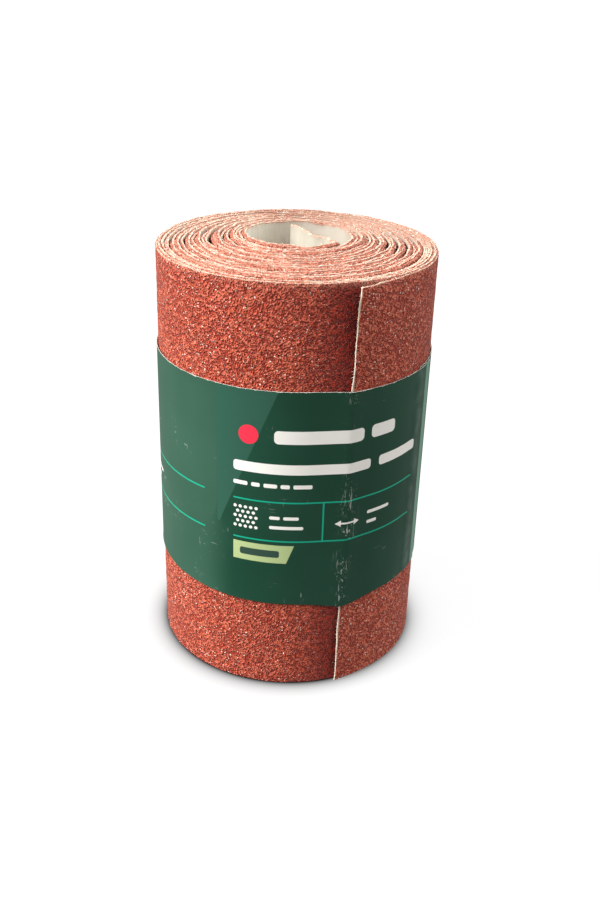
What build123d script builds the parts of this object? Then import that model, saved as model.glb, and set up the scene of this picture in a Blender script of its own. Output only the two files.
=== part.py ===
from build123d import *
from math import acos, degrees
import os

# A roll of coated abrasive paper standing on its end, held shut by a printed
# paper band. Millimetres, +Z up along the roll, origin at the centre of the
# base. The strip is wound grit side out: seen from above it starts at its
# outer cut end, on the front of the roll (-Y), and winds inward turning to
# the left, and its inner end crosses the open eye of the roll as a tongue.

# Strip
strip_width = 93.0
roll_radius = 30.0
backing_thickness = 0.20
coat_thickness = 0.22
sheet_thickness = backing_thickness + coat_thickness
turns = 22

# The outer turns are wound firmly. Inside them the roll is slack: its turns lie
# together at the back and fan out in front, so the eye sits behind the axis.
firm_turns = 6
firm_pitch = 0.46
back_slack = 0.5
front_slack = 0.6
eye_back = 19.1
eye_front = 3.5

# Ends of the strip, as angles from +X about the roll
outer_end_angle = -66.7
curl_angle = -42.0
curl_radius = 2.0
tongue_direction = 126.0
tongue_length = 17.0

# Paper band
band_bottom = 21.3
band_height = 50.1
band_thickness = 0.16
band_clearance = 0.12
lap_start_angle = -29.0
lap_end_angle = -16.5
lap_ramp = 4.0
lap_crest = 1.0
glue_thickness = 0.06
glue_inset_angle = 1.5
glue_margin = 1.5
lap_lift = band_thickness + glue_thickness


def polar(centre, radius, angle):
    """The point at a radius and angle from a centre."""
    return Vector(*centre) + Vector(radius, 0).rotate(Axis.Z, angle)


def reach(turn, slack, eye_reach):
    """Distance of a turn's grit face from the axis, on the front or the back side."""
    firm_reach = roll_radius - firm_pitch * min(turn, firm_turns)
    if turn <= firm_turns:
        return firm_reach
    slack_pitch = (firm_reach - slack - eye_reach) / (turns - firm_turns)
    return firm_reach - slack - slack_pitch * (turn - firm_turns)


def half_turn(front_turn, back_turn):
    """Centre and radius of the half circle from one turn's front to another's back."""
    front = reach(front_turn, front_slack, eye_front)
    back = reach(back_turn, back_slack, eye_back)
    return (0, (back - front) / 2), (back + front) / 2


def right_half(turn):
    return half_turn(turn, turn)


def left_half(turn):
    return half_turn(turn + 1, turn)


def winding():
    """The grit face as tangent arcs, each a centre, radius, start angle and sweep."""
    arcs = []
    for turn in range(turns):
        start = outer_end_angle if turn == 0 else -90
        arcs.append((*right_half(turn), start, 90 - start))
        arcs.append((*left_half(turn), 90, 180))
    eye_centre, eye_radius = right_half(turns)
    arcs.append((eye_centre, eye_radius, -90, curl_angle + 90))
    curl_centre = polar(eye_centre, eye_radius - curl_radius, curl_angle)
    curl_sweep = tongue_direction - 90 - curl_angle
    arcs.append((tuple(curl_centre), curl_radius, curl_angle, curl_sweep))
    return arcs


def wound_line(depth):
    """The strip's line at a depth below the grit face; returns its two end points."""
    arcs = winding()
    for centre, radius, start, sweep in arcs:
        CenterArc(centre, radius - depth, start, sweep)
    first_centre, first_radius, first_angle, _ = arcs[0]
    last_centre, last_radius, last_angle, last_sweep = arcs[-1]
    root = polar(last_centre, last_radius - depth, last_angle + last_sweep)
    tip = root + polar((0, 0), tongue_length, tongue_direction)
    Line(root, tip)
    return polar(first_centre, first_radius - depth, first_angle), tip


def wound_outline(outer_depth, inner_depth):
    """Outline of one layer of the strip, from the outer end to the tongue's tip."""
    outer_start, outer_tip = wound_line(outer_depth)
    inner_start, inner_tip = wound_line(inner_depth)
    Line(outer_start, inner_start)
    Line(outer_tip, inner_tip)


def band_line(offset):
    """The band's line at an offset from its inner face; returns its two end points.

    The band bears on the outer turn, spans the step at the strip's cut end as
    a straight ridge and climbs over its own hidden end at the lap.
    """
    right_centre, right_radius = right_half(0)
    left_centre, left_radius = left_half(0)
    under_centre, under_radius = right_half(1)
    right_radius += band_clearance + offset
    left_radius += band_clearance + offset
    under_radius += band_clearance + offset
    ridge = polar(right_centre, right_radius, outer_end_angle)
    ridge_reach = (ridge - Vector(*under_centre)).length
    leave_angle = outer_end_angle - degrees(acos(under_radius / ridge_reach))
    climb_angle = lap_start_angle - lap_ramp
    crest_angle = lap_start_angle - lap_crest

    CenterArc(right_centre, right_radius, lap_start_angle, 90 - lap_start_angle)
    CenterArc(left_centre, left_radius, 90, 180)
    CenterArc(under_centre, under_radius, -90, leave_angle + 90)
    Line(polar(under_centre, under_radius, leave_angle), ridge)
    CenterArc(right_centre, right_radius, outer_end_angle, climb_angle - outer_end_angle)
    Line(
        polar(right_centre, right_radius, climb_angle),
        polar(right_centre, right_radius + lap_lift, crest_angle),
    )
    CenterArc(right_centre, right_radius + lap_lift, crest_angle, lap_end_angle - crest_angle)
    return (
        polar(right_centre, right_radius, lap_start_angle),
        polar(right_centre, right_radius + lap_lift, lap_end_angle),
    )


os.makedirs("parts", exist_ok=True)

# Paper web that carries the grit
with BuildPart() as backing_paper:
    with BuildSketch():
        with BuildLine():
            wound_outline(coat_thickness, sheet_thickness)
        make_face()
    extrude(amount=strip_width)

# Resin-bonded grit on the outer face of the web
with BuildPart() as abrasive_coat:
    with BuildSketch():
        with BuildLine():
            wound_outline(0, coat_thickness)
        make_face()
    extrude(amount=strip_width)

# Printed paper band, one piece lapped over its own end
with BuildPart() as label_band:
    with BuildSketch(Plane.XY.offset(band_bottom)):
        with BuildLine():
            inner_start, inner_end = band_line(0)
            outer_start, outer_end = band_line(band_thickness)
            Line(inner_start, outer_start)
            Line(inner_end, outer_end)
        make_face()
    extrude(amount=band_height)

# Film of glue between the two layers of the lap
with BuildPart() as label_glue:
    with BuildSketch(Plane.XY.offset(band_bottom + glue_margin)):
        with BuildLine():
            lap_centre, lap_radius = right_half(0)
            film_inner = lap_radius + band_clearance + band_thickness
            film_outer = film_inner + glue_thickness
            film_start = lap_start_angle + glue_inset_angle
            film_end = lap_end_angle - glue_inset_angle
            film_sweep = film_end - film_start
            CenterArc(lap_centre, film_inner, film_start, film_sweep)
            CenterArc(lap_centre, film_outer, film_start, film_sweep)
            for film_angle in (film_start, film_end):
                Line(
                    polar(lap_centre, film_inner, film_angle),
                    polar(lap_centre, film_outer, film_angle),
                )
        make_face()
    extrude(amount=band_height - 2 * glue_margin)

backing_paper.part.label = "backing_paper"
abrasive_coat.part.label = "abrasive_coat"
label_band.part.label = "label_band"
label_glue.part.label = "label_glue"

for piece in (backing_paper, abrasive_coat, label_band, label_glue):
    export_step(piece.part, f"parts/{piece.part.label}.step")
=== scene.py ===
import math
import bpy
import numpy as np
from mathutils import Matrix, Vector


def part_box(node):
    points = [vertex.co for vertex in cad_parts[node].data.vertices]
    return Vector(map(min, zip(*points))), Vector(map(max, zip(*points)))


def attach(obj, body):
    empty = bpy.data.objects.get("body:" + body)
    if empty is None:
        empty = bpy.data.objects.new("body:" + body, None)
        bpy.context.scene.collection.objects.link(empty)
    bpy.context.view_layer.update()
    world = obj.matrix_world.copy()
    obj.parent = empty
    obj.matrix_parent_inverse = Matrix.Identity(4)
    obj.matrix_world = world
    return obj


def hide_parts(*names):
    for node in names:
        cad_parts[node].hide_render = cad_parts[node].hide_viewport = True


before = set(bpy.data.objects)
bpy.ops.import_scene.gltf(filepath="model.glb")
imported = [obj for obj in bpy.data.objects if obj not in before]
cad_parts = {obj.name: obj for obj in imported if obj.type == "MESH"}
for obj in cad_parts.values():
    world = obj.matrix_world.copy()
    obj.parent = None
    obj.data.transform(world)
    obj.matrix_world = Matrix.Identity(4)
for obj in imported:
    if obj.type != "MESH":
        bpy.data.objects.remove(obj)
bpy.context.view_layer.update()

# The looks of a roll of red sandpaper in its printed paper band.
# Lengths below are in millimetres unless a name says otherwise, and angles in
# degrees from +X about the roll; meshes are written in metres.

MM = 0.001
RNG = np.random.default_rng(80)

# ---------------------------------------------------------------- sizes

_, WEB_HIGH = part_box("backing_paper")
_, COAT_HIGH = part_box("abrasive_coat")
BAND_LOW, BAND_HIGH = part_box("label_band")
WIDTH = WEB_HIGH.z / MM
ROLL_RADIUS = COAT_HIGH.x / MM
COAT = (COAT_HIGH.x - WEB_HIGH.x) / MM
PAPER = 0.20
SHEET = COAT + PAPER

# How the strip is wound, as in the design of the part
TURNS = 22
FIRM_TURNS = 6
FIRM_PITCH = 0.46
BACK_SLACK = 0.5
FRONT_SLACK = 0.6
EYE_BACK = 19.1
EYE_FRONT = 3.5
OUTER_END = -66.7
CURL_ANGLE = -42.0
CURL_RADIUS = 2.0
TONGUE_DIRECTION = 126.0
TONGUE_LENGTH = 17.0

BAND_BOTTOM = BAND_LOW.z / MM
BAND_TOP = BAND_HIGH.z / MM
BAND_HEIGHT = BAND_TOP - BAND_BOTTOM
BAND_THICKNESS = 0.16
BAND_CLEARANCE = 0.12
LAP_START = -29.0
LAP_END = -16.5
LAP_RAMP = 4.0
LAP_CREST = 1.0
GLUE = 0.06
LAP_LIFT = BAND_THICKNESS + GLUE
TRIM = 1.3              # the print's layout starts this far below the band's lower edge
RIDGE_LIFT = 0.55       # the band tents this far over the strip's loose end

# The strip's loose end: how far each corner stands off the roll, the height over
# which that grows from the band's edge, and how far along the strip it fades
BASE_LIFT = 0.52
BASE_LIFT_HEIGHT = 14
BASE_LIFT_REACH = 7
TOP_LIFT = 1.25
TOP_LIFT_HEIGHT = 18
TOP_LIFT_REACH = 13
END_LEAN = 0.95         # the cut leans this far past its place at the foot
SET_BACK = 0.12         # beside the grit, the paper's cut is set back this far
END_WAVES = ((0.11, 2.9, 0.4), (0.07, 1.3, 0), (0.05, 0.6, 0))

# Angles about the roll where its slack turns gape, and by what share
GAPES = ((138, 1.0), (45, 0.4))
GAPE_WIDTH = 30
CRUMPLE_ANGLE = 38      # where the rim of the innermost turn is crumpled
CRUMPLE_WIDTH = 34

# Fineness of the meshes and numbers of small pieces
STRIP_STEP = 0.42
GRIT_ROW = 0.48
GRIT_BACK_ROWS = 8      # the relief's flat back has one row for so many in front
BAND_STEP = 0.4
BAND_ROW = 0.6
PAPER_SIDE_ROWS = 46
SEAM_OVERLAP = 1.5
TOP_FIBRES = 5200
BASE_FIBRES = 1200
END_FIBRES = 90
PROUD_GRAINS = 9000
TOP_CRUMBS = 11000
BASE_CRUMBS = 2500


# ---------------------------------------------------------------- small helpers

def smooth(t):
    """0 to 1 with flat ends."""
    t = np.clip(t, 0, 1)
    return t * t * (3 - 2 * t)


def unit(vectors):
    return vectors / np.linalg.norm(vectors, axis=1)[:, None]


def bell(values, middle, width):
    """1 at the middle, fading to 0 on both sides."""
    return np.exp(-(((values - middle) / width) ** 2))


def direction(angle):
    """Unit vectors at angles in degrees."""
    a = np.radians(angle)
    return np.stack([np.cos(a), np.sin(a)], -1)


def blur(values, spread, axis=0):
    """Values smoothed along an axis, over `spread` samples; trims the ends."""
    reach = int(4 * spread) + 1
    kernel = np.exp(-0.5 * (np.arange(-reach, reach + 1) / spread) ** 2)
    kernel /= kernel.sum()
    return np.apply_along_axis(np.convolve, axis, values, kernel, "valid")


def rough_line(count, spread):
    """Noise along a line, about -1 to 1, smoothed over `spread` samples."""
    reach = int(4 * spread) + 1
    line = blur(RNG.normal(size=count + 2 * reach), spread)
    return line / (2 * line.std())


def rough_sheet(rows, columns, spread):
    """Noise over a grid, about -1 to 1, smoothed over `spread` samples."""
    reach = int(4 * spread) + 1
    grid = RNG.normal(size=(rows + 2 * reach, columns + 2 * reach))
    grid = blur(blur(grid, spread, 0), spread, 1)
    return grid / (2 * grid.std())


def make_object(name, points, faces, material_slots, material_of_face=None, crease=40):
    """A smooth-shaded mesh object from points in millimetres."""
    mesh = bpy.data.meshes.new(name)
    mesh.from_pydata((np.asarray(points, float) * MM).tolist(), [], faces)
    for material in material_slots:
        mesh.materials.append(material)
    if material_of_face is not None:
        mesh.polygons.foreach_set("material_index", np.asarray(material_of_face, np.int32))
    mesh.shade_smooth()
    mesh.set_sharp_from_angle(angle=math.radians(crease))
    mesh.validate()
    piece = bpy.data.objects.new(name, mesh)
    bpy.context.scene.collection.objects.link(piece)
    return piece


def point_attribute(piece, name, values):
    """A number on every point, for the piece's material to read."""
    attribute = piece.data.attributes.new(name, "FLOAT", "POINT")
    attribute.data.foreach_set("value", np.asarray(values, np.float32).ravel())


def loop_faces(rows, columns):
    """Quads of a closed loop of rows swept along columns, with both ends capped."""
    row = np.arange(rows)[:, None]
    column = np.arange(columns - 1)[None, :]
    here = row * columns + column
    above = (row + 1) % rows * columns + column
    quads = np.stack([here, here + 1, above + 1, above], -1).reshape(-1, 4)
    first = [int(r * columns) for r in range(rows)]
    last = [int(r * columns + columns - 1) for r in reversed(range(rows))]
    return quads.tolist() + [first, last]


def repeated(pattern, count, stride):
    """The faces of `count` copies of a small shape with `stride` points each."""
    return [[i * stride + v for v in face] for i in range(count) for face in pattern]


# ---------------------------------------------------------------- the winding

def reach(turn, slack, eye_reach):
    """Distance of a turn's grit face from the axis, on the front or the back side."""
    firm_reach = ROLL_RADIUS - FIRM_PITCH * min(turn, FIRM_TURNS)
    if turn <= FIRM_TURNS:
        return firm_reach
    slack_pitch = (firm_reach - slack - eye_reach) / (TURNS - FIRM_TURNS)
    return firm_reach - slack - slack_pitch * (turn - FIRM_TURNS)


def half_turn(front_turn, back_turn):
    """Centre and radius of the half circle from one turn's front to another's back."""
    front = reach(front_turn, FRONT_SLACK, EYE_FRONT)
    back = reach(back_turn, BACK_SLACK, EYE_BACK)
    return np.array([0, (back - front) / 2]), (back + front) / 2


def strip_line():
    """The grit face as tangent arcs and the tongue's straight run."""
    runs = []
    for turn in range(TURNS):
        start = OUTER_END if turn == 0 else -90
        runs.append((*half_turn(turn, turn), start, 90 - start))
        runs.append((*half_turn(turn + 1, turn), 90, 180))
    eye_centre, eye_radius = half_turn(TURNS, TURNS)
    runs.append((eye_centre, eye_radius, -90, CURL_ANGLE + 90))
    curl_centre = eye_centre + (eye_radius - CURL_RADIUS) * direction(CURL_ANGLE)
    runs.append((curl_centre, CURL_RADIUS, CURL_ANGLE, TONGUE_DIRECTION - 90 - CURL_ANGLE))
    root = curl_centre + CURL_RADIUS * direction(TONGUE_DIRECTION - 90)
    runs.append((root, root + TONGUE_LENGTH * direction(TONGUE_DIRECTION)))
    return runs


def band_line():
    """The band's inner face: round the roll, up over the loose end and over the lap."""
    right_centre, right_radius = half_turn(0, 0)
    left_centre, left_radius = half_turn(1, 0)
    under_centre, under_radius = half_turn(1, 1)
    right_radius += BAND_CLEARANCE
    left_radius += BAND_CLEARANCE
    under_radius += BAND_CLEARANCE
    ridge = right_centre + (right_radius + RIDGE_LIFT) * direction(OUTER_END)
    ridge_reach = np.linalg.norm(ridge)
    leave = OUTER_END - math.degrees(math.acos(under_radius / ridge_reach))
    land = OUTER_END + math.degrees(math.acos(right_radius / ridge_reach))
    climb = LAP_START - LAP_RAMP
    crest = LAP_START - LAP_CREST
    lap_radius = right_radius + LAP_LIFT
    return [
        (right_centre, right_radius, LAP_START, 90 - LAP_START),
        (left_centre, left_radius, 90, 180),
        (under_centre, under_radius, -90, leave + 90),
        (under_centre + under_radius * direction(leave), ridge),
        (ridge, right_centre + right_radius * direction(land)),
        (right_centre, right_radius, land, climb - land),
        (
            right_centre + right_radius * direction(climb),
            right_centre + lap_radius * direction(crest),
        ),
        (right_centre, lap_radius, crest, LAP_END - crest),
    ]


def trace(runs, step):
    """Samples along arcs and lines: place, outward normal, distance and angle turned."""
    places, normals, distances, angles = [], [], [], []
    travelled, turned = 0.0, 0.0
    for run in runs:
        if len(run) == 4:
            centre, radius, start, sweep = run
            length = radius * math.radians(sweep)
            share = np.arange(math.ceil(length / step)) / math.ceil(length / step)
            outward = direction(start + sweep * share)
            places.append(centre + radius * outward)
        else:
            start, end = run
            sweep = 0
            length = np.linalg.norm(end - start)
            share = np.arange(math.ceil(length / step)) / math.ceil(length / step)
            ahead = (end - start) / length
            outward = np.repeat([[ahead[1], -ahead[0]]], len(share), 0)
            places.append(start + (length * share)[:, None] * ahead)
        normals.append(outward)
        distances.append(travelled + length * share)
        angles.append(turned + sweep * share)
        travelled += length
        turned += sweep
    return (
        np.concatenate(places),
        np.concatenate(normals),
        np.concatenate(distances),
        np.concatenate(angles),
    )


WAVES = [
    (RNG.uniform(0.12, 0.5), RNG.integers(0, 8), RNG.uniform(0, 360), RNG.uniform(0, 360))
    for _ in range(16)
]


def unevenness(wound, which):
    """Smooth noise, -1 to 1, that follows the winding turn by turn."""
    total, weight = 0, 0
    for frequency, lobes, phase, other_phase in WAVES:
        size = 1 / (1 + 0.25 * lobes)
        angle = frequency * wound + lobes * wound + phase + which * other_phase
        total = total + size * np.sin(np.radians(angle))
        weight += size ** 2
    return np.tanh(total / math.sqrt(weight))


def spare_gap(wound):
    """Empty space between a turn and the next one in."""
    turn = wound / 360
    steps = TURNS - FIRM_TURNS
    inner = ROLL_RADIUS - FIRM_PITCH * FIRM_TURNS
    back_gap = (inner - BACK_SLACK - EYE_BACK) / steps - SHEET
    front_gap = (inner - FRONT_SLACK - EYE_FRONT) / steps - SHEET
    facing = np.sin(np.radians(OUTER_END + wound))
    slack_gap = (front_gap + back_gap) / 2 - (front_gap - back_gap) / 2 * facing
    firm_gap = FIRM_PITCH - SHEET
    return firm_gap + (slack_gap - firm_gap) * smooth((turn - FIRM_TURNS - 0.2) / 0.8)


class Strip:
    """The wound strip, sampled along its length, with the unevenness of a real roll."""

    def __init__(self, step):
        self.place, self.normal, self.distance, self.wound = trace(strip_line(), step)
        self.count = len(self.place)
        self.tangent = np.stack([-self.normal[:, 1], self.normal[:, 0]], -1)
        gap = spare_gap(self.wound)
        turn = self.wound / 360
        facing = (OUTER_END + self.wound) % 360
        slack = smooth((turn - FIRM_TURNS - 0.25) / 0.4) * np.clip(1 - (turn - 7) / 9, 0, 1)
        gaping = sum(share * bell(facing, middle, GAPE_WIDTH) for middle, share in GAPES)
        drift = 0.46 * gap * unevenness(self.wound, 0) + 0.42 * slack * (1 - gaping).clip(0)
        self.place = self.place + drift[:, None] * self.normal
        self.gaping = slack * gaping
        tail = np.exp(-self.distance / 22)
        last_turn = OUTER_END + self.wound - 360 * (TURNS - 1)
        self.crumple = bell(last_turn, CRUMPLE_ANGLE, CRUMPLE_WIDTH)
        self.top_drift = 0.26 * unevenness(self.wound, 1) - 0.42 * tail - 0.35 * self.crumple
        self.base_drift = (0.16 + 0.14 * unevenness(self.wound, 2)) * (1 - tail)
        ripple = rough_line(self.count, 2.6 / step) + 0.7 * rough_line(self.count, 1.0 / step)
        self.edge_ripple = (0.04 + 0.30 * gap + 0.22 * self.crumple) * ripple
        along_tongue = self.distance - self.distance[-1] + TONGUE_LENGTH
        self.tongue_wave = (
            0.5 * np.sin(along_tongue / 2.0 + 0.6) * smooth(along_tongue / 5)
            - 0.2 * np.sin(along_tongue / 0.9) * smooth(along_tongue / 3)
        )

    def lift(self, distance, z):
        """How far the loose outer end stands off the turn beneath it."""
        below_band = np.clip((BAND_BOTTOM - z) / BASE_LIFT_HEIGHT, 0.1, 1)
        above_band = np.clip((z - BAND_TOP) / TOP_LIFT_HEIGHT, 0, 1)
        low = BASE_LIFT * below_band * np.clip(1 - distance / BASE_LIFT_REACH, 0, 1) ** 2
        high = TOP_LIFT * above_band * smooth(1 - distance / TOP_LIFT_REACH)
        return low + high

    def end_shift(self, distance, z):
        """The hand-cut outer end leans at its foot and waves a little."""
        lean = -END_LEAN * np.exp(-z / 22)
        wave = sum(size * np.sin(z / length + phase) for size, length, phase in END_WAVES)
        return (lean + wave) * np.exp(-distance / 3)

    def row(self, chosen, depth, z):
        """Points of the chosen samples at a depth below the grit face and a height."""
        z = np.broadcast_to(z, (len(chosen),))
        distance = self.distance[chosen]
        near_edge = np.exp(-np.minimum(z, WIDTH - z).clip(0) / 2.5)
        near_top = np.exp(-(WIDTH - z).clip(0) / 14)
        outward = (
            self.edge_ripple[chosen] * near_edge
            + self.tongue_wave[chosen] * near_top
            + self.lift(distance, z)
            - depth
        )
        flat = self.place[chosen] + outward[:, None] * self.normal[chosen]
        flat = flat + self.end_shift(distance, z)[:, None] * self.tangent[chosen]
        return np.column_stack([flat, z])


# ---------------------------------------------------------------- materials

class Shader:
    """A material whose nodes are written as calls."""

    def __init__(self, name):
        self.material = bpy.data.materials.new(name)
        self.material.use_nodes = True
        self.tree = self.material.node_tree
        self.surface = self.tree.nodes["Principled BSDF"]

    def plug(self, socket, value):
        if isinstance(value, bpy.types.NodeSocket):
            self.tree.links.new(value, socket)
        else:
            socket.default_value = value

    def node(self, kind, output, inputs=None, **settings):
        made = self.tree.nodes.new(kind)
        for key, value in settings.items():
            setattr(made, key, value)
        for key, value in (inputs or {}).items():
            self.plug(made.inputs[key], value)
        return made.outputs[output]

    def math(self, operation, a, b=None, c=None, clamp=False):
        inputs = {i: v for i, v in enumerate((a, b, c)) if v is not None}
        return self.node("ShaderNodeMath", 0, inputs, operation=operation, use_clamp=clamp)

    def vector_math(self, operation, a, b=None, output=0):
        inputs = {i: v for i, v in enumerate((a, b)) if v is not None}
        return self.node("ShaderNodeVectorMath", output, inputs, operation=operation)

    def ramp(self, value, low, high, to_low=0.0, to_high=1.0):
        inputs = {0: value, 1: low, 2: high, 3: to_low, 4: to_high}
        return self.node("ShaderNodeMapRange", 0, inputs, interpolation_type="SMOOTHSTEP")

    def mix(self, factor, a, b):
        made = self.tree.nodes.new("ShaderNodeMix")
        made.data_type = "RGBA"
        self.plug(made.inputs[0], factor)
        self.plug(made.inputs[6], (*a, 1) if isinstance(a, tuple) else a)
        self.plug(made.inputs[7], (*b, 1) if isinstance(b, tuple) else b)
        return made.outputs[2]

    def place(self, stretch=None, turn=(0, 0, 0)):
        """Coordinates on the piece in metres, stretched or turned if asked."""
        here = self.node("ShaderNodeTexCoord", "Object")
        if stretch is None:
            return here
        inputs = {"Vector": here, "Scale": stretch, "Rotation": turn}
        return self.node("ShaderNodeMapping", 0, inputs)

    def noise(self, scale, detail=2.0, rough=0.5, where=None, distortion=0.0):
        inputs = {"Vector": where or self.place(), "Scale": scale, "Detail": detail}
        inputs |= {"Roughness": rough, "Distortion": distortion}
        return self.node("ShaderNodeTexNoise", "Fac", inputs)

    def cells(self, scale, output="Distance"):
        """Small cells: the distance from each one's middle, or its own random colour."""
        inputs = {"Vector": self.place(), "Scale": scale}
        return self.node("ShaderNodeTexVoronoi", output, inputs)

    def picks(self, scale):
        """A random number for every cell of a size."""
        return self.node("ShaderNodeSeparateColor", 0, {"Color": self.cells(scale, "Color")})

    def attribute(self, name):
        return self.node("ShaderNodeAttribute", "Fac", attribute_name=name)

    def bump(self, height, distance, strength=1.0):
        """Relief of a height from 0 to 1, `distance` metres deep."""
        inputs = {"Height": height, "Distance": distance, "Strength": strength}
        return self.node("ShaderNodeBump", 0, inputs)

    def finish(self, **inputs):
        for key, value in inputs.items():
            if isinstance(value, tuple) and len(value) == 3 and "Color" in key:
                value = (*value, 1)
            self.plug(self.surface.inputs[key.replace("_", " ")], value)
        return self.material


GRAIN_SCALE = 2500      # cells of one grain each, per metre


def grit_material():
    """Red resin over grain: short worm-like ridges, dark pits, and a few bright
    specks painted in as glints off grain faces.

    One attribute marks painted shade, deep maroon on the outer turn where it
    comes round to pass under its own loose end, darkest against that end's edge;
    "dusty" marks the paler grit along its cut edges.
    """
    s = Shader("red_grit")
    field = s.noise(1150, 1.0, 0.5, distortion=0.4)
    worms = s.math("MULTIPLY_ADD", s.math("SINE", s.math("MULTIPLY", field, 18.0)), 0.5, 0.5)
    grain = s.cells(GRAIN_SCALE)
    height = s.math("MULTIPLY_ADD", grain, -0.6, worms)
    height = s.math("MULTIPLY_ADD", s.noise(2600, 1.0), 0.6, height)
    broad = s.noise(55, 2)
    painted_end_shade = s.attribute("painted_end_shade")
    dusty = s.attribute("dusty")
    resin = s.mix(s.ramp(broad, 0.3, 0.7), (0.50, 0.062, 0.022), (0.585, 0.087, 0.033))
    # Painted shade: resin and pits turn deep maroon where the outer turn comes round under its
    # loose end. The lighter crests and glints are held back there.
    resin = s.mix(painted_end_shade, resin, (0.33, 0.015, 0.005))
    resin = s.mix(dusty, resin, (0.67, 0.27, 0.18))
    pits = s.mix(painted_end_shade, (0.32, 0.026, 0.010), (0.15, 0.005, 0.002))
    pits = s.mix(dusty, pits, (0.50, 0.13, 0.08))
    colour = s.mix(s.ramp(height, 0.05, 0.70), pits, resin)
    crest = s.math("SUBTRACT", 0.75, painted_end_shade, clamp=True)
    crest = s.math("MULTIPLY", s.ramp(height, 0.75, 1.15), crest)
    colour = s.mix(crest, colour, (0.88, 0.280, 0.180))
    pick = s.picks(GRAIN_SCALE)
    # Painted glints: a few grain cells turned near white, as light caught off grain faces;
    # fewer in the painted shade by the loose end.
    painted_glint = s.math("MULTIPLY", s.ramp(pick, 0.945, 0.955), s.ramp(grain, 0.50, 0.30))
    painted_glint = s.math("MULTIPLY", painted_glint, s.math("SUBTRACT", 0.95, painted_end_shade, clamp=True))
    colour = s.mix(painted_glint, colour, (1.0, 0.80, 0.69))
    facet = s.math("MULTIPLY", s.ramp(pick, 0.55, 0.60), s.ramp(grain, 0.50, 0.35))
    tilt = s.vector_math("SUBTRACT", s.cells(GRAIN_SCALE, "Color"), (0.5, 0.5, 0.5))
    reach_of_tilt = s.math("MULTIPLY", s.math("SUBTRACT", facet, painted_glint, clamp=True), 1.5)
    scaled = {0: tilt, "Scale": reach_of_tilt}
    tilt = s.node("ShaderNodeVectorMath", 0, scaled, operation="SCALE")
    normal = s.vector_math("ADD", s.bump(height, 0.00034, 1.0), tilt)
    return s.finish(
        Base_Color=colour,
        Roughness=s.ramp(facet, 0.0, 1.0, 0.55, 0.16),
        Normal=s.vector_math("NORMALIZE", normal),
        Specular_IOR_Level=0.34,
        Sheen_Weight=0.08,
        Sheen_Roughness=0.5,
        Sheen_Tint=(1.0, 0.82, 0.74, 1.0),
    )


def grain_material():
    """Separate grains: angular, glassy red-brown, catching the light."""
    s = Shader("grain_faces")
    pick = s.picks(900)
    colour = s.mix(s.ramp(pick, 0.70, 0.80), (0.56, 0.10, 0.052), (0.80, 0.36, 0.25))
    return s.finish(
        Base_Color=colour,
        Roughness=s.ramp(pick, 0.3, 0.8, 0.32, 0.12),
        Normal=s.bump(s.noise(5000, 1), 0.00001, 0.4),
        Specular_IOR_Level=0.7,
    )


def paper_material():
    """Cream backing paper; its cut edge is torn white, and dusted pink by the grit."""
    s = Shader("backing_paper")
    cloud = s.noise(90, 4, 0.6)
    fibre = s.noise(1400, 3, 0.6, s.place((1, 1, 0.35)))
    sheet = s.mix(s.ramp(cloud, 0.3, 0.7), (0.86, 0.81, 0.68), (0.91, 0.87, 0.77))
    # Painted shade: grey-beige paper on the roll's right side, away from the main light, and
    # on the tongue at the inner end.
    sheet = s.mix(s.attribute("painted_shade"), sheet, (0.40, 0.375, 0.315))
    sheet = s.mix(s.ramp(fibre, 0.30, 0.55, 0.22, 0.0), sheet, (0.52, 0.46, 0.35))
    torn = s.attribute("cut_edge")
    dust = s.ramp(s.noise(1300, 3, 0.65), 0.36, 0.56)
    dust = s.math("MULTIPLY", dust, s.math("SUBTRACT", 1.0, s.attribute("cut_end")))
    edge = s.mix(dust, (0.84, 0.75, 0.62), (0.69, 0.41, 0.30))
    # Painted shade: towards the back right the cut edges are darkened, and also turned pinker
    # with grit dust.
    towards_back = s.vector_math("DOT_PRODUCT", s.place(), (0.55, 0.83, 0.0), output=1)
    edge = s.mix(s.ramp(towards_back, 0.010, 0.020, 0.0, 0.80), edge, (0.46, 0.25, 0.18))
    colour = s.mix(s.ramp(torn, 0.1, 0.9), sheet, edge)
    return s.finish(
        Base_Color=colour,
        Roughness=0.85,
        Normal=s.bump(fibre, 0.00003, 0.5),
        Specular_IOR_Level=0.3,
    )


def fibre_material():
    """Loose paper fibres, white or dusted with red."""
    s = Shader("torn_fibres")
    pick = s.ramp(s.noise(700, 1), 0.42, 0.60)
    colour = s.mix(pick, (0.86, 0.80, 0.71), (0.82, 0.42, 0.30))
    return s.finish(Base_Color=colour, Roughness=0.9, Specular_IOR_Level=0.2)


def rim_material():
    """The band's bare paper: its cut rim, its unprinted inside, and its worn spots."""
    s = Shader("bare_band_paper")
    fibre = s.noise(1800, 3, 0.6)
    colour = s.mix(s.ramp(fibre, 0.3, 0.7), (0.52, 0.51, 0.46), (0.66, 0.65, 0.61))
    return s.finish(
        Base_Color=colour,
        Roughness=0.8,
        Normal=s.bump(fibre, 0.00002, 0.5),
        Specular_IOR_Level=0.3,
    )


def glue_material():
    """Dried paste, milky and slightly glossy."""
    s = Shader("dried_glue")
    patch = s.noise(250, 2)
    colour = s.mix(s.ramp(patch, 0.3, 0.7), (0.62, 0.58, 0.45), (0.74, 0.71, 0.60))
    return s.finish(
        Base_Color=colour,
        Roughness=s.ramp(patch, 0.3, 0.7, 0.25, 0.45),
        Normal=s.bump(patch, 0.00003, 0.4),
    )


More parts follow.
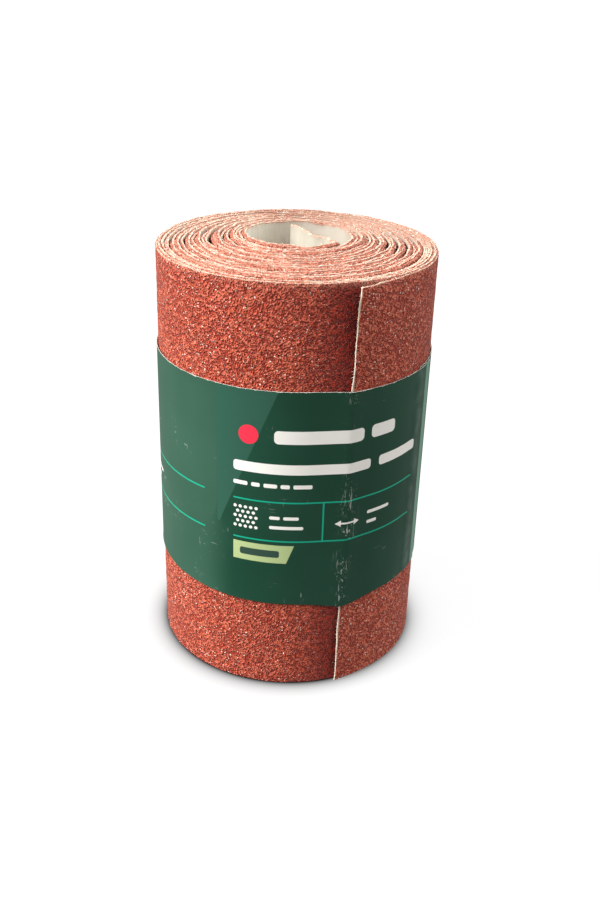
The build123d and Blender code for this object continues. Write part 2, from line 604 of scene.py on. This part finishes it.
# The band's design, in millimetres on the paper: x runs along the band from the
# middle of the front, y up from its lower edge. Words are shown as plain bars.
PANEL_LEFT = -11.9
PANEL_RIGHT = 31.3
PANEL_SPLIT = 7.1
UPPER_RULE = 26.6
LOWER_RULE = 17.3
TONE_EDGE = -15.8
PANEL_PITCH = 50.4
BACK_PANELS = 2
BACK_LINE_SHIFT = -10.4     # the last lines stand nearer the split on the back panels
STRIPE_START = 35.5         # a pale stripe runs along the lap's outer end
RULE_HALF = 0.17            # half the height of a rule, and of a line of small print
LINE_HALF = 0.38


def print_shapes():
    """The design's flat shapes as {ink: [(left, right, bottom, top, corner radius)]}."""
    white = [
        (-3.4, 15.3, 40.0, 42.9, 0.9),
        (17.2, 23.6, 40.0, 42.9, 0.9),
        (-11.9, 17.4, 33.1, 35.4, 0.7),
        (19.6, 31.5, 33.1, 35.4, 0.7),
    ]
    for left, right in ((-11.9, -8.8), (-8.0, -6.2), (-5.4, -2.6), (-1.9, 0.0), (0.7, 4.6)):
        white.append((left, right, 29.9, 30.8, 0.3))
    teal = []
    for panel in range(BACK_PANELS + 1):
        shift = -PANEL_PITCH * panel
        left, right = PANEL_LEFT + shift, PANEL_RIGHT + shift
        for rule in (UPPER_RULE, LOWER_RULE):
            teal.append((left, right, rule - RULE_HALF, rule + RULE_HALF, 0.1))
        split = PANEL_SPLIT + shift
        teal.append((split - RULE_HALF, split + RULE_HALF, LOWER_RULE, UPPER_RULE, 0.1))
        right_shift = shift + BACK_LINE_SHIFT * (panel > 0)
        for start, end, line, moved in (
            (-4.1, -1.9, 22.9, shift),
            (-1.2, 2.0, 22.9, shift),
            (-4.1, 3.0, 20.6, shift),
            (17.3, 23.4, 22.6, right_shift),
            (17.3, 19.9, 20.2, right_shift),
        ):
            bottom, top = line - LINE_HALF, line + LINE_HALF
            white.append((start + moved, end + moved, bottom, top, 0.3))
    return {"white": white, "teal": teal}


class Print(Shader):
    """The band's printed face."""

    def __init__(self):
        super().__init__("printed_face")
        self.x = self.attribute("print_x")
        self.y = self.attribute("print_y")
        self.spot = self.node("ShaderNodeCombineXYZ", 0, {0: self.x, 1: self.y})

    def nearest(self, distances):
        nearest = distances[0]
        for distance in distances[1:]:
            nearest = self.math("MINIMUM", nearest, distance)
        return nearest

    def bar(self, left, right, bottom, top, corner):
        """Distance outside a rounded bar."""
        middle = ((left + right) / 2, (bottom + top) / 2, 0)
        half = ((right - left) / 2 - corner, (top - bottom) / 2 - corner, 0)
        away = self.vector_math("SUBTRACT", self.spot, middle)
        away = self.vector_math("ABSOLUTE", away)
        away = self.vector_math("SUBTRACT", away, half)
        away = self.vector_math("MAXIMUM", away, (0, 0, 0))
        length = self.vector_math("LENGTH", away, output=1)
        return self.math("SUBTRACT", length, corner)

    def disc(self, x, y, radius):
        away = self.vector_math("DISTANCE", self.spot, (x, y, 0), output=1)
        return self.math("SUBTRACT", away, radius)

    def dots(self, left, bottom, columns, rows, pitch, radius):
        """Distance outside a block of dots; every other row is one dot shorter."""
        line = self.math("DIVIDE", self.math("SUBTRACT", self.y, bottom), pitch)
        row = self.math("ROUND", line)
        odd = self.math("PINGPONG", row, 1.0)
        place = self.math("DIVIDE", self.math("SUBTRACT", self.x, left), pitch)
        shifted = self.math("MULTIPLY_ADD", odd, -0.5, place)
        away_x = self.math("SUBTRACT", shifted, self.math("ROUND", shifted))
        away_y = self.math("SUBTRACT", line, row)
        away = self.vector_math(
            "LENGTH", self.node("ShaderNodeCombineXYZ", 0, {0: away_x, 1: away_y}), output=1
        )
        distance = self.math("MULTIPLY_ADD", away, pitch, -radius)
        half_row = self.math("MULTIPLY_ADD", odd, -0.5, columns / 2)
        off_middle = self.math("ABSOLUTE", self.math("SUBTRACT", place, (columns - 1) / 2))
        beside = self.math("SUBTRACT", off_middle, half_row)
        off_middle = self.math("ABSOLUTE", self.math("SUBTRACT", line, (rows - 1) / 2))
        above = self.math("SUBTRACT", off_middle, rows / 2)
        outside = self.math("MAXIMUM", beside, above)
        return self.math("MAXIMUM", distance, outside)

    def half_plane(self, x0, y0, x1, y1):
        """Distance to the right of the line from one point to another."""
        length = math.hypot(x1 - x0, y1 - y0)
        slope_x, slope_y = (y1 - y0) / length, -(x1 - x0) / length
        across = self.math("MULTIPLY_ADD", self.x, slope_x, -(x0 * slope_x + y0 * slope_y))
        return self.math("MULTIPLY_ADD", self.y, slope_y, across)

    def corner_shape(self, corners):
        """Distance outside a convex shape, its corners listed clockwise."""
        worst = None
        for start, end in zip(corners, corners[1:] + corners[:1]):
            side = self.math("MULTIPLY", self.half_plane(*start, *end), -1.0)
            worst = side if worst is None else self.math("MAXIMUM", worst, side)
        return worst

    def inked(self, distance, soft=0.05):
        return self.ramp(distance, soft, -soft)


def print_material():
    """Dark green print with plain pale, teal, lime and red shapes, rubbed and scuffed."""
    s = Print()
    shapes = print_shapes()
    mottle = s.noise(35, 3, 0.55)
    dark = s.mix(s.ramp(mottle, 0.3, 0.7), (0.006, 0.050, 0.027), (0.010, 0.062, 0.036))
    light = s.mix(s.ramp(mottle, 0.3, 0.7), (0.026, 0.086, 0.054), (0.033, 0.102, 0.066))
    blend_width = s.ramp(s.y, 25, 15, 0.10, 4.5)
    across = s.math("DIVIDE", s.math("SUBTRACT", s.x, TONE_EDGE), blend_width)
    colour = s.mix(s.ramp(across, -1, 1), light, dark)
    colour = s.mix(s.ramp(s.x, STRIPE_START, STRIPE_START + 0.3), colour, (0.15, 0.34, 0.235))
    for panel in range(BACK_PANELS + 1):
        shift = -PANEL_PITCH * panel
        facet = s.corner_shape(
            [
                (TONE_EDGE + shift, 51.5),
                (-2.6 + shift, 51.5),
                (-15.2 + shift, 20.0),
                (TONE_EDGE + shift, 20.0),
            ]
        )
        colour = s.mix(s.inked(facet, 0.08), colour, (0.026, 0.100, 0.068))
    teal = s.nearest([s.bar(*bar) for bar in shapes["teal"]])
    colour = s.mix(s.inked(teal), colour, (0.004, 0.40, 0.25))
    marks = [s.bar(*bar) for bar in shapes["white"]]
    marks += [s.dots(-11.5, 20.1, 5, 5, 1.15, 0.36)]
    marks += [s.bar(10.3, 14.6, 21.15, 21.55, 0.1)]
    marks += [s.corner_shape([(9.6, 21.35), (10.9, 22.1), (10.9, 20.6)])]
    marks += [s.corner_shape([(15.2, 21.35), (13.9, 20.6), (13.9, 22.1)])]
    colour = s.mix(s.inked(s.nearest(marks)), colour, (0.94, 0.92, 0.87))
    colour = s.mix(s.inked(s.disc(-8.7, 41.5, 2.1)), colour, (0.86, 0.035, 0.075))
    tag = s.corner_shape([(-11.9, 16.3), (1.2, 16.3), (-0.4, 11.9), (-11.9, 11.9)])
    colour = s.mix(s.inked(tag), colour, (0.45, 0.56, 0.26))
    colour = s.mix(s.inked(s.bar(-10.4, -1.9, 13.25, 14.95, 0.5)), colour, (0.03, 0.07, 0.05))

    ridge = s.attribute("fold")
    long_scratch = s.noise(2200, 2, 0.6, s.place((0.16, 0.16, 1.0), (0.5, 0.35, 0)))
    cross_scratch = s.noise(2000, 2, 0.6, s.place((1.0, 1.0, 0.14), (0.3, -0.5, 0)))
    where = s.noise(70, 2, 0.6)
    scuff = s.math(
        "MULTIPLY",
        s.ramp(where, 0.55, 0.72),
        s.math("MAXIMUM", s.ramp(long_scratch, 0.66, 0.72), s.ramp(cross_scratch, 0.67, 0.73)),
    )
    fleck = s.ramp(s.noise(2300, 3, 0.7), 0.59, 0.65)
    flecks = s.math("MAXIMUM", fleck, s.ramp(cross_scratch, 0.61, 0.67))
    rub = s.math("MULTIPLY", ridge, flecks)
    rub = s.math("MULTIPLY", rub, s.ramp(s.noise(260, 1), 0.36, 0.56))
    edge = s.math("ADD", s.attribute("rim_gap"), 0.41)
    edge = s.math("MULTIPLY_ADD", s.noise(700, 3, 0.7), -0.9, edge)
    wear_and_painted_shade = s.math("MAXIMUM", s.math("MULTIPLY", scuff, 0.45), s.math("MULTIPLY", rub, 0.75))
    wear_and_painted_shade = s.math("MAXIMUM", wear_and_painted_shade, s.ramp(edge, 0.02, -0.10))
    haze = s.math("MULTIPLY", s.attribute("smear"), s.ramp(s.noise(240, 3, 0.6), 0.3, 0.8))
    colour = s.mix(s.math("MULTIPLY", haze, 0.25), colour, (0.30, 0.42, 0.36))
    colour = s.mix(wear_and_painted_shade, colour, (0.66, 0.68, 0.63))
    rough = s.ramp(s.noise(45, 3, 0.6), 0.3, 0.7, 0.30, 0.40)
    rough = s.math("MULTIPLY_ADD", wear_and_painted_shade, 0.35, rough)
    dents = s.math("MULTIPLY_ADD", wear_and_painted_shade, -0.15, s.noise(130, 2, 0.5))
    return s.finish(
        Base_Color=colour,
        Roughness=rough,
        Normal=s.bump(dents, 0.00012, 0.35),
        Specular_IOR_Level=0.38,
    )


GRIT = grit_material()
GRAINS = grain_material()
BACKING = paper_material()
FIBRES = fibre_material()
PRINTED = print_material()
BARE_PAPER = rim_material()


# ---------------------------------------------------------------- the strip

def paper_web(strip, seam):
    """The backing paper, as its outer turn and all the others; ragged, flared cut edges.

    Only the outer turn has many rows up its side, because its loose end bends.
    """
    ragged = rough_line(strip.count, 1.2) + 0.8 * rough_line(strip.count, 0.6)
    burr = 0.05 + 0.07 * np.abs(rough_line(strip.count, 1.5))
    top = WIDTH + strip.top_drift + (0.09 + 0.25 * strip.crumple) * ragged
    base = 0.02 + strip.base_drift + 0.05 * np.abs(rough_line(strip.count, 1.0))
    face = COAT + 0.005
    back = COAT + PAPER
    pieces = []
    for name, chosen, side_rows in (
        ("paper_outer_turn", np.flatnonzero(strip.distance <= seam), PAPER_SIDE_ROWS),
        ("paper_inner_turns", np.flatnonzero(strip.distance > seam - STRIP_STEP), 2),
    ):
        low, high, flare = base[chosen], top[chosen], burr[chosen]
        side = np.linspace(1.4, WIDTH - 1.8, side_rows)
        front_rows = [
            (face - flare * 0.4, low, 1.0),
            (face, low + 0.3, 0.3),
            *[(face, z, 0.0) for z in side],
            (face, high - 0.4, 0.3),
            (face - flare, high, 1.0),
        ]
        back_rows = [
            (back + flare, high - 0.02, 1.0),
            (back, high - 0.4, 0.3),
            *[(back, z, 0.0) for z in side[::-1]],
            (back, low + 0.3, 0.3),
            (back + flare * 0.4, low, 1.0),
        ]
        levels = front_rows + back_rows
        points = np.stack([strip.row(chosen, depth, z) for depth, z, _ in levels])
        at_end = bell(strip.distance[chosen], 0, 0.6)
        if name == "paper_outer_turn":
            points[: len(front_rows), 0, :2] += SET_BACK * strip.tangent[0]
        faces = loop_faces(len(levels), len(chosen))
        piece = make_object(name, points.reshape(-1, 3), faces, [BACKING])
        cut = np.array([edge for _, _, edge in levels])
        point_attribute(piece, "cut_edge", np.maximum(cut[:, None], at_end[None, :]))
        point_attribute(piece, "cut_end", np.tile(at_end, len(levels)))
        # Painted shade: the paper darkens on the roll's right side, away from the main light,
        # and on the tongue at the strip's inner end.
        right_side = 0.5 + 0.5 * np.cos(np.radians(OUTER_END + strip.wound[chosen]))
        at_tip = smooth((strip.distance[chosen] - strip.distance[-1] + 30) / 10)
        painted_shade_from = 0.15
        wear_and_painted_shade = 1.1 * right_side.clip(painted_shade_from) - 1.1 * painted_shade_from
        painted_shade = np.maximum(wear_and_painted_shade, 0.7 * at_tip)
        point_attribute(piece, "painted_shade", np.tile(painted_shade, len(levels)))
        pieces.append(piece)
    return pieces


def inner_grit(strip, start):
    """The grit of every turn but the outer one, broken and uneven along its cut edges."""
    chosen = np.flatnonzero(strip.distance >= start)
    count = len(chosen)

    def crumbs(size):
        return size * (rough_line(count, 0.7) + 0.5 * rough_line(count, 2.0))

    top = WIDTH + strip.top_drift[chosen] - 0.06 - np.abs(crumbs(0.14))
    base = 0.05 + strip.base_drift[chosen] + np.abs(crumbs(0.08))
    burr = spare_gap(strip.wound[chosen]) * (0.80 + 0.24 * rough_line(count, 2.5)).clip(0.1)
    burr = np.minimum(burr + 0.24 * strip.gaping[chosen], 1.1)
    levels = [
        (0.07 + crumbs(0.03), base, 0.5),
        (0.03 + crumbs(0.04), base + 0.35, 0.2),
        (0.03 + crumbs(0.03), base + 1.5, 0.0),
        (0.03 + crumbs(0.03), WIDTH - 3.0, 0.0),
        (0.03 + crumbs(0.05) - 0.5 * burr, top - 1.4, 0.35),
        (0.03 + crumbs(0.06) - 0.9 * burr, top - 0.6, 0.8),
        (0.03 + crumbs(0.07) - burr, top - 0.15, 1.0),
        (0.10 + crumbs(0.05) - 0.7 * burr, top, 1.0),
        (COAT, top - 0.05, 1.0),
        (COAT, WIDTH / 2, 0.0),
        (COAT, base + 0.02, 0.5),
    ]
    points = np.concatenate([strip.row(chosen, depth, z) for depth, z, _ in levels])
    faces = loop_faces(len(levels), count)
    piece = make_object("grit_inner_turns", points, faces, [GRIT], crease=70)
    point_attribute(piece, "dusty", np.repeat([dusty for _, _, dusty in levels], count))
    return piece


def outer_grit(strip, end, row_step):
    """The grit of the outer turn, with its relief as real geometry; also its outer points."""
    chosen = np.flatnonzero(strip.distance <= end)
    columns = len(chosen)
    rows = int(WIDTH / row_step)
    share = np.linspace(0, 1, rows)[:, None]
    top = WIDTH + strip.top_drift[chosen] - 0.05 - 0.12 * np.abs(rough_line(columns, 0.8))
    base = 0.03 + strip.base_drift[chosen] + 0.05 * np.abs(rough_line(columns, 0.8))
    heights = base + share * (top - base)
    worms = np.sin(5.0 * rough_sheet(rows, columns, 2.4))
    relief = 0.6 * worms + 0.5 * rough_sheet(rows, columns, 0.7)
    relief = 0.06 + 0.045 * np.clip(relief, -1.6, 1.1)
    rounded = 0.10 * np.exp(-(top - heights) / 0.15) + 0.06 * np.exp(-(heights - base) / 0.15)
    front = [strip.row(chosen, relief[r] + rounded[r], heights[r]) for r in range(rows)]
    back_rows = [*range(rows - 1, 0, -GRIT_BACK_ROWS), 0]
    back = [strip.row(chosen, COAT, heights[r]) for r in back_rows]
    points = np.stack(front + back)
    chip = 0.36 + 0.20 * rough_line(rows, 1.2) + 0.16 * rough_line(rows, 4)
    chip = np.append(chip, chip[back_rows]).clip(0.02)
    early = np.exp(-strip.distance[chosen] / 1.2)
    points[:, :, :2] += (chip[:, None] * early)[..., None] * strip.tangent[chosen]
    faces = loop_faces(len(points), columns)
    piece = make_object("grit_outer_turn", points.reshape(-1, 3), faces, [GRIT], crease=75)
    dusty = np.exp(-(WIDTH - points[..., 2]).clip(0) / 0.5) * 0.8
    point_attribute(piece, "dusty", dusty)
    # Painted shade on the outer turn where it comes round under its loose end: strongest over
    # the last 15 mm, faint over 34 mm.
    before_end = end - strip.distance[chosen]
    painted_end_shade = 0.85 * smooth(1 - before_end / 15) + 0.15 * smooth(1 - before_end / 34)
    point_attribute(piece, "painted_end_shade", np.tile(painted_end_shade.clip(0, 1), len(points)))
    return piece, points[:rows]


def fibres(strip):
    """Torn paper fibres along the cut edges, as fine tapered three-sided hairs."""
    roots, grow = [], []
    top_picks = RNG.integers(0, strip.count, TOP_FIBRES)
    base_picks = RNG.integers(0, strip.count, BASE_FIBRES)
    for picks, edge, at_top in ((top_picks, WIDTH, True), (base_picks, 0.25, False)):
        depth = COAT + RNG.uniform(-0.12, PAPER + 0.05, len(picks))
        z = edge + (strip.top_drift[picks] if at_top else strip.base_drift[picks] * 0.5)
        roots.append(strip.row(picks, depth, z))
        sideways = RNG.normal(size=(len(picks), 1)) * strip.tangent[picks]
        outward = RNG.normal(0, 0.45, (len(picks), 1)) * strip.normal[picks]
        lowest, highest = (0.0, 0.45) if at_top else (-0.1, 0.05)
        rise = RNG.uniform(lowest, highest, len(picks))
        grow.append(np.column_stack([sideways + outward, rise]))
    heights = RNG.uniform(0.5, WIDTH - 0.5, END_FIBRES)
    heights = heights[(heights < BAND_BOTTOM - 1) | (heights > BAND_TOP + 1)]
    first = np.zeros(len(heights), int)
    roots.append(strip.row(first, COAT + 0.5 * PAPER, heights))
    away = -strip.tangent[first] * RNG.uniform(0.3, 1.0, (len(first), 1))
    away = away + strip.normal[first] * RNG.normal(0.1, 0.3, (len(first), 1))
    grow.append(np.column_stack([away, RNG.normal(0, 0.6, len(first))]))
    roots = np.concatenate(roots)
    grow = unit(np.concatenate(grow))
    length = RNG.uniform(0.18, 0.85, len(roots)) * RNG.uniform(0.5, 1.0, len(roots))
    side_axis = unit(np.cross(grow, RNG.normal(size=grow.shape)))
    other_axis = np.cross(grow, side_axis)
    bend = RNG.normal(0, 0.35, len(roots))
    thick = RNG.uniform(0.7, 1.6, len(roots))
    rings = []
    for share, width in ((-0.15, 0.05), (0.35, 0.045), (0.7, 0.03), (1.0, 0.008)):
        centre = roots + (share * length)[:, None] * grow
        centre = centre + (bend * length * share * share)[:, None] * side_axis
        for angle in (0, 120, 240):
            c, s = math.cos(math.radians(angle)), math.sin(math.radians(angle))
            rings.append(centre + (width * thick)[:, None] * (c * side_axis + s * other_axis))
    points = np.stack(rings, 1)
    points[..., 2] = points[..., 2].clip(0.01)
    pattern = []
    for ring in range(3):
        for corner in range(3):
            a, b = ring * 3 + corner, ring * 3 + (corner + 1) % 3
            pattern.append([a, b, b + 3, a + 3])
    pattern += [[2, 1, 0], [9, 10, 11]]
    faces = repeated(pattern, len(roots), 12)
    return make_object("torn_edge_fibres", points.reshape(-1, 3), faces, [FIBRES])


def grains(name, centre, size):
    """Small angular grains, each an uneven eight-faced stone turned at random."""
    count = len(centre)
    corners = np.array(
        [[1, 0, 0], [-1, 0, 0], [0, 1, 0], [0, -1, 0], [0, 0, 1], [0, 0, -1]], float
    )
    w, x, y, z = unit(RNG.normal(size=(count, 4))).T
    spin = np.stack(
        [
            np.stack([1 - 2 * (y * y + z * z), 2 * (x * y - z * w), 2 * (x * z + y * w)], -1),
            np.stack([2 * (x * y + z * w), 1 - 2 * (x * x + z * z), 2 * (y * z - x * w)], -1),
            np.stack([2 * (x * z - y * w), 2 * (y * z + x * w), 1 - 2 * (x * x + y * y)], -1),
        ],
        1,
    )
    shape = corners[None] * RNG.uniform(0.55, 1.15, (count, 6, 1)) * size[:, None, None]
    points = np.einsum("nij,nkj->nki", spin, shape) + centre[:, None]
    points[..., 2] = points[..., 2].clip(0.01)
    pattern = []
    for a, b in ((0, 2), (2, 1), (1, 3), (3, 0)):
        pattern += [[a, b, 4], [b, a, 5]]
    faces = repeated(pattern, count, 6)
    return make_object(name, points.reshape(-1, 3), faces, [GRAINS], crease=5)


def proud_grains(surface):
    """Single grains that stand a little proud of the outer turn's resin."""
    rows, columns, _ = surface.shape
    row = RNG.integers(2, rows - 2, PROUD_GRAINS)
    column = RNG.integers(3, columns - 2, PROUD_GRAINS)
    centre = surface[row, column]
    outward = unit(centre * (1, 1, 0))
    size = RNG.uniform(0.05, 0.10, PROUD_GRAINS)
    return grains("proud_grains", centre - outward * (size * 0.45)[:, None], size)


def edge_crumbs(strip):
    """Broken grit along the cut edges, some of it lying over the paper's edge."""
    top_picks = RNG.integers(0, strip.count, TOP_CRUMBS)
    base_picks = RNG.integers(0, strip.count, BASE_CRUMBS)
    picks = np.concatenate([top_picks, base_picks])
    depth = RNG.uniform(-0.02, COAT + 0.5 * PAPER, len(picks))
    at_top = np.arange(len(picks)) < len(top_picks)
    top = WIDTH + strip.top_drift[picks] - RNG.uniform(-0.02, 0.30, len(picks))
    base = 0.12 + strip.base_drift[picks] + RNG.uniform(0.0, 0.25, len(picks))
    centre = strip.row(picks, depth, np.where(at_top, top, base))
    return grains("edge_crumbs", centre, RNG.uniform(0.07, 0.15, len(picks)))


strip = Strip(STRIP_STEP)
one_turn = 2 * math.pi * (ROLL_RADIUS - FIRM_PITCH / 4) + SEAM_OVERLAP
outer_web, inner_web = paper_web(strip, one_turn)
grit_inside = inner_grit(strip, one_turn)
grit_outside, outer_surface = outer_grit(strip, one_turn, GRIT_ROW)
edge_fibres = fibres(strip)
single_grains = proud_grains(outer_surface)
crumbs = edge_crumbs(strip)


# ---------------------------------------------------------------- the band

def printed_band(step, row_step):
    """The printed paper band: cockled, worn at its folds, its lower edge not quite level."""
    place, _, distance, _ = trace(band_line(), step)
    columns = len(place)
    spread = 1.2
    margin = int(4 * spread) + 1
    place = np.pad(place, ((margin, margin), (0, 0)), mode="reflect", reflect_type="odd")
    place = blur(place, spread)
    ahead = np.gradient(place, axis=0)
    ahead = unit(ahead)
    normal = np.column_stack([ahead[:, 1], -ahead[:, 0]])
    angle = np.degrees(np.arctan2(place[:, 1], place[:, 0]))
    angle = np.where((distance > distance[-1] / 2) & (angle > 90), angle - 360, angle)
    second_half = np.flatnonzero(distance >= distance[-1] / 2)

    def column_at(wanted):
        """The column at an angle, on the half of the band that ends on top of the lap."""
        return second_half[np.argmin(np.abs(angle[second_half] - wanted))]

    print_x = distance - distance[column_at(-90)]
    ridge_x = print_x[column_at(OUTER_END)]

    rows = int(BAND_HEIGHT / row_step)
    share = np.linspace(0, 1, rows)[:, None]
    free = smooth((distance - 12) / 8) * smooth((distance[-1] - 12 - distance) / 8)
    cockle = 0.5 + 0.5 * np.tanh(rough_sheet(rows, columns, 26))
    curl = np.exp(-np.minimum(share, 1 - share) * BAND_HEIGHT / 0.9)
    flare = 0.10 * curl * (0.5 + 0.5 * np.tanh(rough_line(columns, 12)))
    outward = free * (0.07 * cockle + flare)
    dip = 1.05 * bell(print_x, ridge_x, 6)
    rise = 1.0 * smooth(-print_x / 45) * smooth((print_x + 150) / 60)
    nick = 0.035 * rough_line(columns, 0.8) + 0.06 * rough_line(columns, 6)
    low = BAND_BOTTOM + 0.25 + rise - dip + nick
    lean = 0.35 * smooth((print_x - 2) / 14)
    fine = 0.03 * rough_line(columns, 1.0)
    broad = 0.07 * rough_line(columns, 18)
    high = BAND_TOP - lean + fine + broad
    heights = low + share * (high - low)
    loop = [(r, BAND_THICKNESS) for r in range(rows)] + [(r, 0) for r in reversed(range(rows))]
    points = []
    for r, offset in loop:
        flat = place + (outward[r] + offset)[:, None] * normal
        points.append(np.column_stack([flat, heights[r]]))
    bare = np.ones((2 * rows, columns - 1), int)
    bare[: rows - 1] = 0
    piece = make_object(
        "printed_band",
        np.concatenate(points),
        loop_faces(2 * rows, columns),
        [PRINTED, BARE_PAPER],
        np.append(bare.ravel(), [1, 1]),
        crease=50,
    )
    level = np.stack([heights[r] for r, _ in loop])
    point_attribute(piece, "print_x", np.tile(print_x, 2 * rows))
    point_attribute(piece, "print_y", level - BAND_BOTTOM + TRIM)
    point_attribute(piece, "rim_gap", np.minimum(level - low + 0.2, high - level))
    from_edge = np.array([share[r, 0] for r, _ in loop]) * BAND_HEIGHT
    low_half = 0.35 + 0.65 * smooth((34 - from_edge) / 20)
    fold = bell(print_x, ridge_x, 1.5)
    point_attribute(piece, "fold", np.outer(low_half, fold))
    smear = bell(print_x - ridge_x, 20.5, 1.8)
    point_attribute(piece, "smear", np.tile(smear, 2 * rows))
    return piece


band = printed_band(BAND_STEP, BAND_ROW)
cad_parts["label_glue"].data.materials.clear()
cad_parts["label_glue"].data.materials.append(glue_material())

for piece, body, node, slot in (
    (outer_web, "roll", "backing_paper", "backing"),
    (inner_web, "roll", "backing_paper", "backing"),
    (edge_fibres, "roll", "backing_paper", "backing"),
    (grit_inside, "roll", "abrasive_coat", "grit"),
    (grit_outside, "roll", "abrasive_coat", "grit"),
    (single_grains, "roll", "abrasive_coat", "grit"),
    (crumbs, "roll", "abrasive_coat", "grit"),
    (band, "band", "label_band", "printed_paper"),
):
    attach(piece, body)
    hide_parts(node)


# ---------------------------------------------------------------- stage, light, camera

FLOOR_SIZE = 30.0           # metres from the middle to each edge
FLOOR_GLOW = 0.93
CONTACT_SHADE = 0.76        # share of the glow lost against the roll's foot
CONTACT_REACH = 0.0021      # metres over which that shade fades


def stage_floor():
    """A plain white tabletop that glows, with a soft shade round the roll's foot."""
    s = Shader("pale_floor")
    flat = s.vector_math("MULTIPLY", s.place(), (1, 1, 0))
    away = s.math("SUBTRACT", s.vector_math("LENGTH", flat, output=1), ROLL_RADIUS * MM)
    fade = s.math("EXPONENT", s.math("DIVIDE", away, -CONTACT_REACH))
    open_share = s.math("MULTIPLY_ADD", fade, -CONTACT_SHADE, 1.0, clamp=True)
    s.finish(
        Base_Color=s.mix(open_share, (0.0, 0.0, 0.0), (0.09, 0.09, 0.09)),
        Roughness=0.9,
        Specular_IOR_Level=0.1,
        Emission_Color=(1.0, 1.0, 1.0),
        Emission_Strength=s.math("MULTIPLY", open_share, FLOOR_GLOW),
    )
    mesh = bpy.data.meshes.new("floor")
    signs = ((-1, -1), (1, -1), (1, 1), (-1, 1))
    corners = [(x * FLOOR_SIZE, y * FLOOR_SIZE, 0) for x, y in signs]
    mesh.from_pydata(corners, [], [(0, 1, 2, 3)])
    mesh.materials.append(s.material)
    floor = bpy.data.objects.new("floor", mesh)
    bpy.context.scene.collection.objects.link(floor)
    floor.visible_diffuse = False
    floor.visible_glossy = False


def soft_light(name, azimuth, elevation, strength, spread, colour):
    """A broad distant light, seen from the object at an azimuth and an elevation."""
    light = bpy.data.lights.new(name, "SUN")
    light.energy = strength
    light.angle = math.radians(spread)
    light.color = colour
    lamp = bpy.data.objects.new(name, light)
    bpy.context.scene.collection.objects.link(lamp)
    flat = math.cos(math.radians(elevation))
    towards = Vector((*(direction(azimuth) * flat), math.sin(math.radians(elevation))))
    lamp.location = towards
    lamp.rotation_euler = towards.to_track_quat("Z", "Y").to_euler()


def studio():
    """A pale surround, the main soft light on the left and a weaker one on the right."""
    world = bpy.data.worlds.new("studio")
    bpy.context.scene.world = world
    world.use_nodes = True
    nodes, links = world.node_tree.nodes, world.node_tree.links
    ambient = nodes["Background"]
    ambient.inputs["Color"].default_value = (1.0, 0.99, 0.98, 1)
    ambient.inputs["Strength"].default_value = 0.26
    backdrop = nodes.new("ShaderNodeBackground")
    backdrop.inputs["Color"].default_value = (1, 1, 1, 1)
    backdrop.inputs["Strength"].default_value = 1.0
    seen = nodes.new("ShaderNodeLightPath")
    choice = nodes.new("ShaderNodeMixShader")
    links.new(seen.outputs["Is Camera Ray"], choice.inputs[0])
    links.new(ambient.outputs[0], choice.inputs[1])
    links.new(backdrop.outputs[0], choice.inputs[2])
    links.new(choice.outputs[0], nodes["World Output"].inputs[0])
    soft_light("key", -165, 36, 5.2, 34, (1.0, 0.98, 0.95))
    soft_light("key_wide", -150, 48, 1.7, 90, (1.0, 0.99, 0.97))
    soft_light("fill", 4, 26, 1.85, 60, (1.0, 0.98, 0.96))


CAMERA_BACK = 0.2152        # metres in front of the roll's axis, and above the floor
CAMERA_HEIGHT = 0.1509


def camera():
    """The viewpoint, in front of the roll and looking down at it."""
    pitch = math.radians(26.39)
    yaw = math.radians(0.56)
    roll = math.radians(1.85)
    data = bpy.data.cameras.new("camera")
    data.sensor_width = 36
    data.lens = 41.32
    data.clip_start = 0.01
    view = bpy.data.objects.new("camera", data)
    bpy.context.scene.collection.objects.link(view)
    ahead = Vector(
        (math.sin(yaw) * math.cos(pitch), math.cos(yaw) * math.cos(pitch), -math.sin(pitch))
    )
    right = Vector((math.cos(yaw), -math.sin(yaw), 0))
    up = right.cross(ahead)
    turned_right = math.cos(roll) * right + math.sin(roll) * up
    turned_up = -math.sin(roll) * right + math.cos(roll) * up
    axes = Matrix((turned_right, turned_up, -ahead)).transposed().to_4x4()
    view.matrix_world = Matrix.Translation((0, -CAMERA_BACK, CAMERA_HEIGHT)) @ axes
    bpy.context.scene.camera = view


stage_floor()
studio()
camera()
bpy.context.scene.view_settings.view_transform = "Standard"
